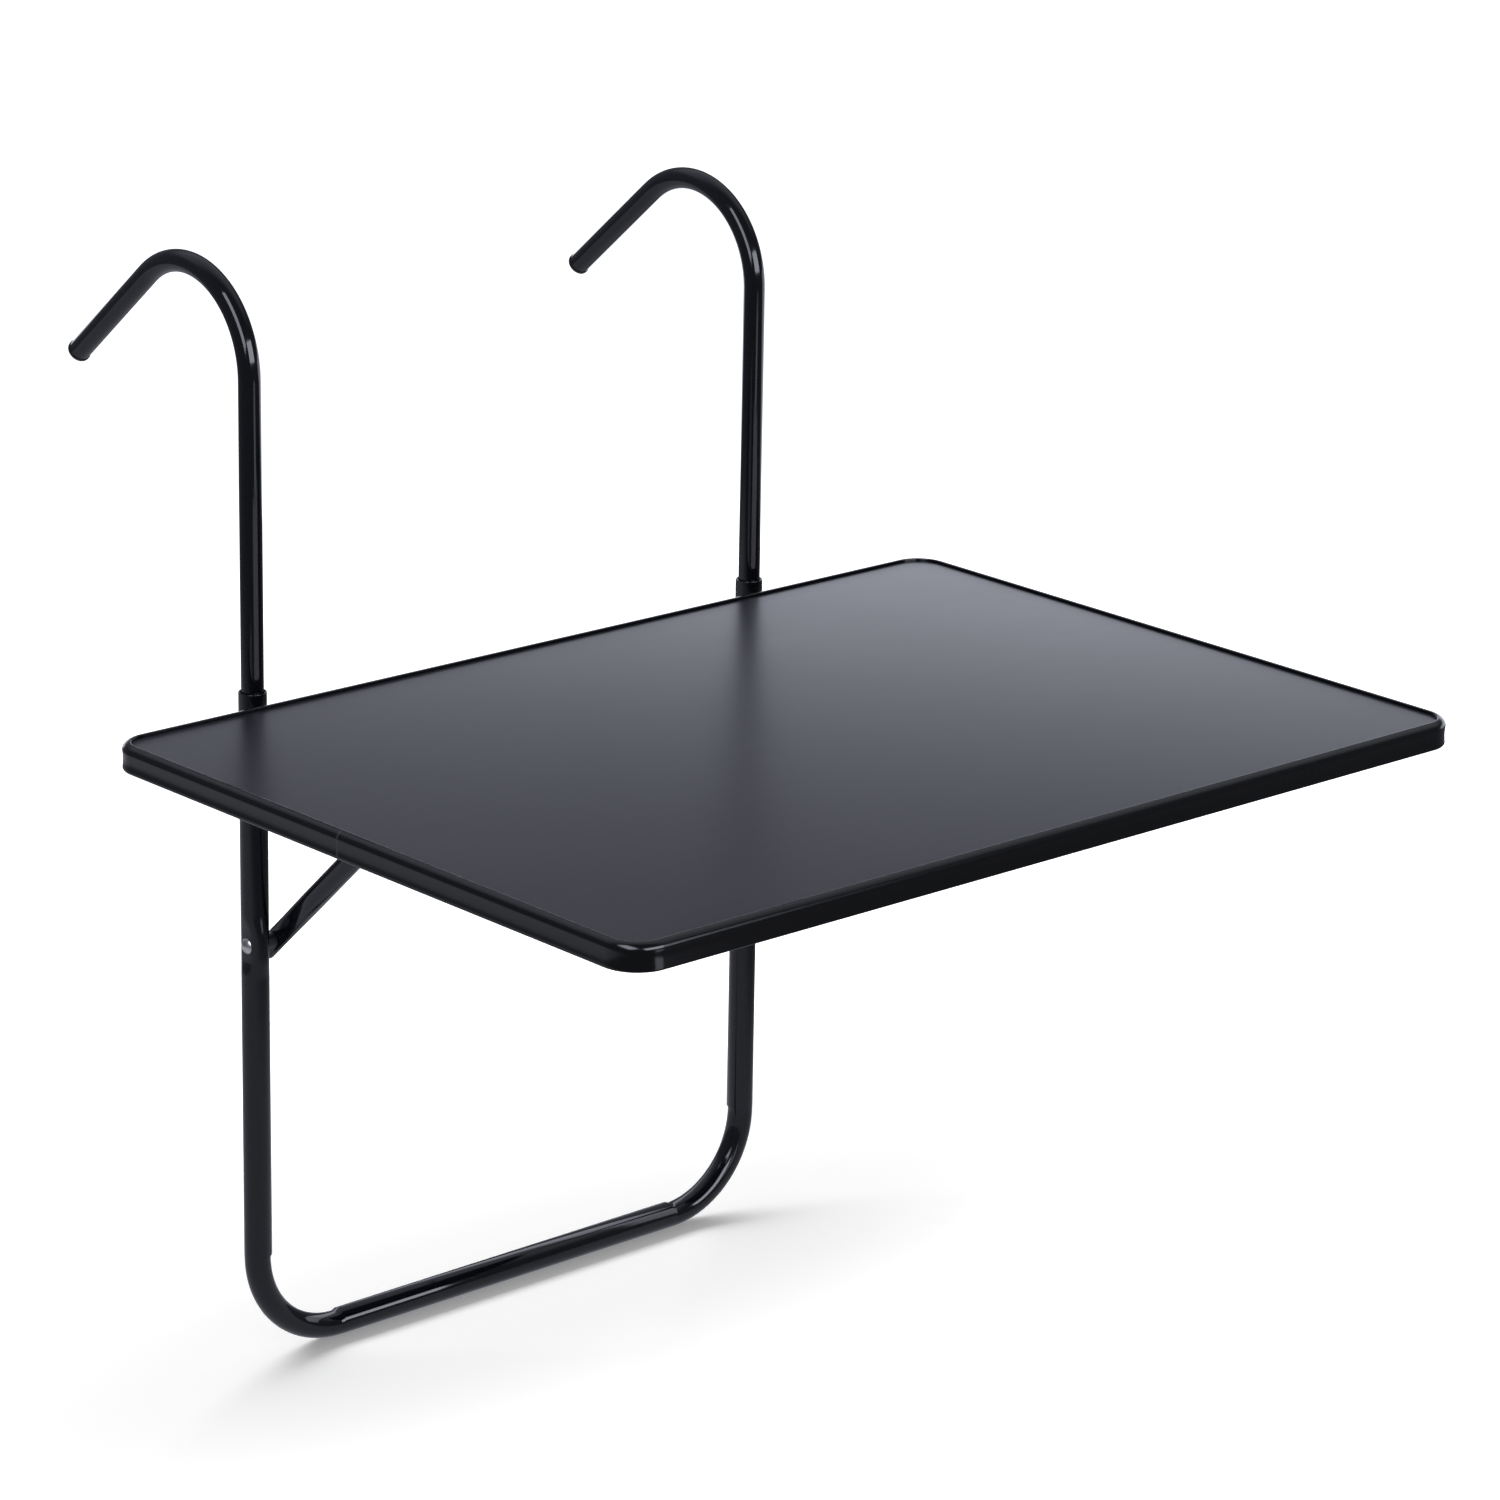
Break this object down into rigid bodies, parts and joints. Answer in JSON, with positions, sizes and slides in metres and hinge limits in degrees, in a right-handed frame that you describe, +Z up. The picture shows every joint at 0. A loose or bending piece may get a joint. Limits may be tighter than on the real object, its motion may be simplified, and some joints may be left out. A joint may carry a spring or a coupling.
{
  "type": "folding balcony table",
  "caption": "Table that hangs on a balcony railing: an edged board hinged to a bent tube frame and propped by a folding brace, with height-adjustable hooks locked by clamp screws.",
  "frame": {"origin": "where the railing's top touches the hooks, half way between them", "axes": "X along the railing, Y from the table over the railing, Z up"},
  "size_m": [0.6, 0.6188, 0.6372],
  "materials": {
    "paint": "gloss black paint",
    "laminate": "satin charcoal laminate on wood-based board",
    "edge_plastic": "gloss black plastic edging",
    "plastic": "black moulded plastic",
    "steel": "zinc-plated steel"
  },
  "bodies": {
    "frame": {"u_frame": "paint", "hinge_lug_left": "paint", "clamp_nut_left": "paint", "brace_rivet_left": "steel", "brace_washer_left": "plastic", "hinge_rivet_left": "steel", "hinge_washer_left": "steel", "hinge_lug_right": "paint", "clamp_nut_right": "paint", "brace_rivet_right": "steel", "brace_washer_right": "plastic", "hinge_rivet_right": "steel", "hinge_washer_right": "steel"},
    "table": {"board": "laminate", "edging": "edge_plastic", "bracket_screws": "steel", "catch_screws": "steel", "hinge_bracket_left": "paint", "catch_left": "plastic", "hinge_bracket_right": "paint", "catch_right": "plastic"},
    "brace": {"brace": "paint"},
    "glide_left": {"hook_glide_left": "plastic"},
    "hook_left": {"hook_left": "paint", "hook_plug_left": "plastic"},
    "clamp_left": {"clamp_screw_left": "steel", "clamp_knob_left": "plastic"},
    "glide_right": {"hook_glide_right": "plastic"},
    "hook_right": {"hook_right": "paint", "hook_plug_right": "plastic"},
    "clamp_right": {"clamp_screw_right": "steel", "clamp_knob_right": "plastic"}
  },
  "joints": [
    {"name": "table_fold", "type": "hinge", "parent": "frame", "child": "table", "pos_m": [0, -0.0735, -0.2415], "axis": [1, 0, 0], "range_deg": [0, 90]},
    {"name": "brace_fold", "type": "hinge", "parent": "frame", "child": "brace", "pos_m": [0, -0.056, -0.3725], "axis": [1, 0, 0], "range_deg": [0, 132.5]},
    {"name": "hook_left_slide", "type": "slide", "parent": "frame", "child": "glide_left", "axis": [0, 0, 1], "range_m": [-0.03, 0.04]},
    {"name": "hook_left_turn", "type": "hinge", "parent": "glide_left", "child": "hook_left", "pos_m": [-0.1835, -0.056, -0.2], "axis": [0, 0, 1], "range_deg": [-90, 90]},
    {"name": "clamp_left_turn", "type": "hinge", "parent": "frame", "child": "clamp_left", "pos_m": [-0.17, -0.056, -0.269], "axis": [-1, 0, 0], "range_deg": [0, 180]},
    {"name": "hook_right_slide", "type": "slide", "parent": "frame", "child": "glide_right", "axis": [0, 0, 1], "range_m": [-0.03, 0.04]},
    {"name": "hook_right_turn", "type": "hinge", "parent": "glide_right", "child": "hook_right", "pos_m": [0.1835, -0.056, -0.2], "axis": [0, 0, 1], "range_deg": [-90, 90]},
    {"name": "clamp_right_turn", "type": "hinge", "parent": "frame", "child": "clamp_right", "pos_m": [0.17, -0.056, -0.269], "axis": [1, 0, 0], "range_deg": [0, 180]}
  ],
  "couplings": [
    {"joint": "brace_fold", "follows": "table_fold", "ratio": 1.4667}
  ]
}
